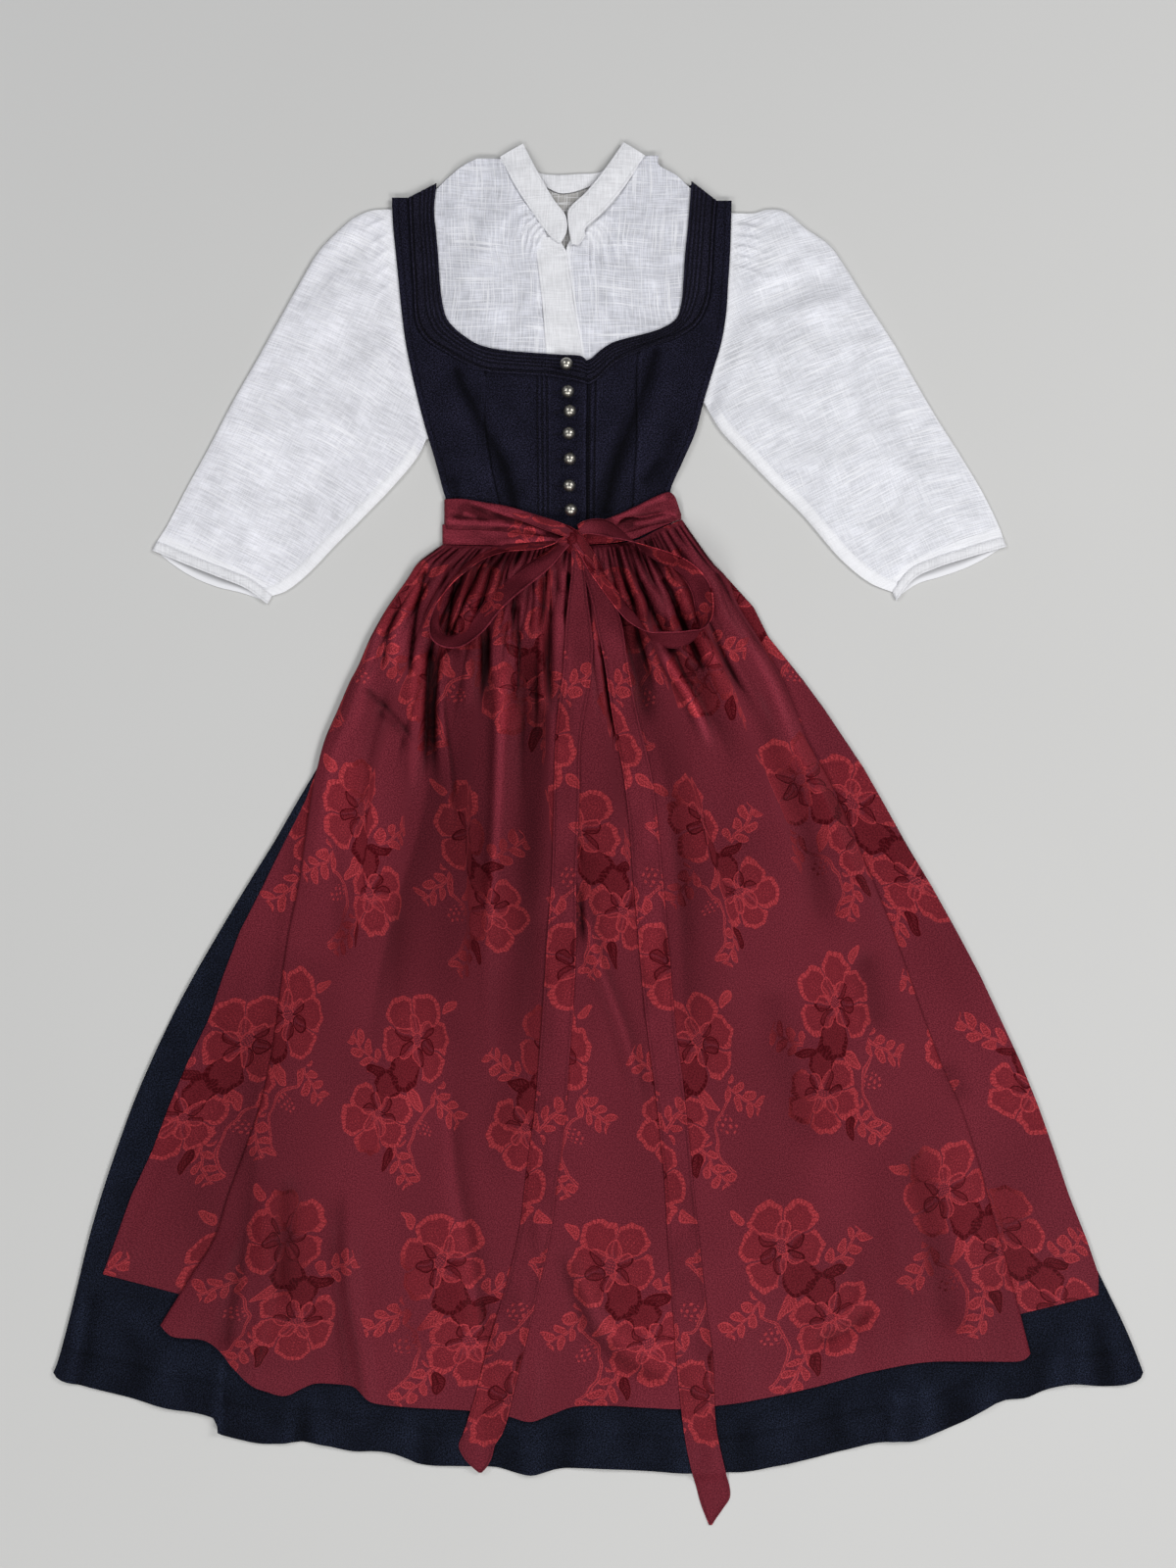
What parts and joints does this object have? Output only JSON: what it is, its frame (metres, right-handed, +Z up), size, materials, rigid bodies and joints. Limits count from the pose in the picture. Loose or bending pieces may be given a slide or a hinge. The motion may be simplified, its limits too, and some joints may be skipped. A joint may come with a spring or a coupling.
{
  "type": "dirndl",
  "caption": "Long dirndl laid flat: white slub-cotton blouse, black-navy wool dress with ball buttons, and burgundy jacquard apron tied in a front bow.",
  "frame": {"origin": "centre of the underside's bounding box, on the surface the garment lies on", "axes": "+X to the right as seen from above, +Y towards the neck, +Z up from the surface"},
  "size_m": [1.113, 1.413, 0.0379],
  "materials": {
    "dress_wool": "matte fine wool twill, black with a blue cast",
    "blouse_voile": "matte white slub cotton voile, slightly sheer",
    "apron_jacquard": "burgundy satin jacquard with flower sprays, soft sheen",
    "button_metal": "antique silver, softly polished"
  },
  "bodies": {
    "root": {"bodice_back": "dress_wool", "bodice_centre_left": "dress_wool", "bodice_centre_right": "dress_wool", "bodice_side_left": "dress_wool", "bodice_side_right": "dress_wool", "neck_band_left": "dress_wool", "neck_band_right": "dress_wool", "skirt_back": "dress_wool", "skirt_front": "dress_wool", "blouse_back": "blouse_voile", "blouse_front_left": "blouse_voile", "blouse_front_right": "blouse_voile", "blouse_placket": "blouse_voile", "collar_left": "blouse_voile", "collar_right": "blouse_voile", "collar_back": "blouse_voile", "sleeve_left": "blouse_voile", "sleeve_right": "blouse_voile", "cuff_left": "blouse_voile", "cuff_right": "blouse_voile", "apron_panel": "apron_jacquard", "apron_waistband": "apron_jacquard", "tie_wrap_left": "apron_jacquard", "tie_wrap_right": "apron_jacquard", "bow_knot": "apron_jacquard", "bow_loop_left": "apron_jacquard", "bow_loop_right": "apron_jacquard", "tie_tail_left": "apron_jacquard", "tie_tail_right": "apron_jacquard", "button_1": "button_metal", "button_2": "button_metal", "button_3": "button_metal", "button_4": "button_metal", "button_5": "button_metal", "button_6": "button_metal", "button_7": "button_metal"}
  },
  "joints": []
}
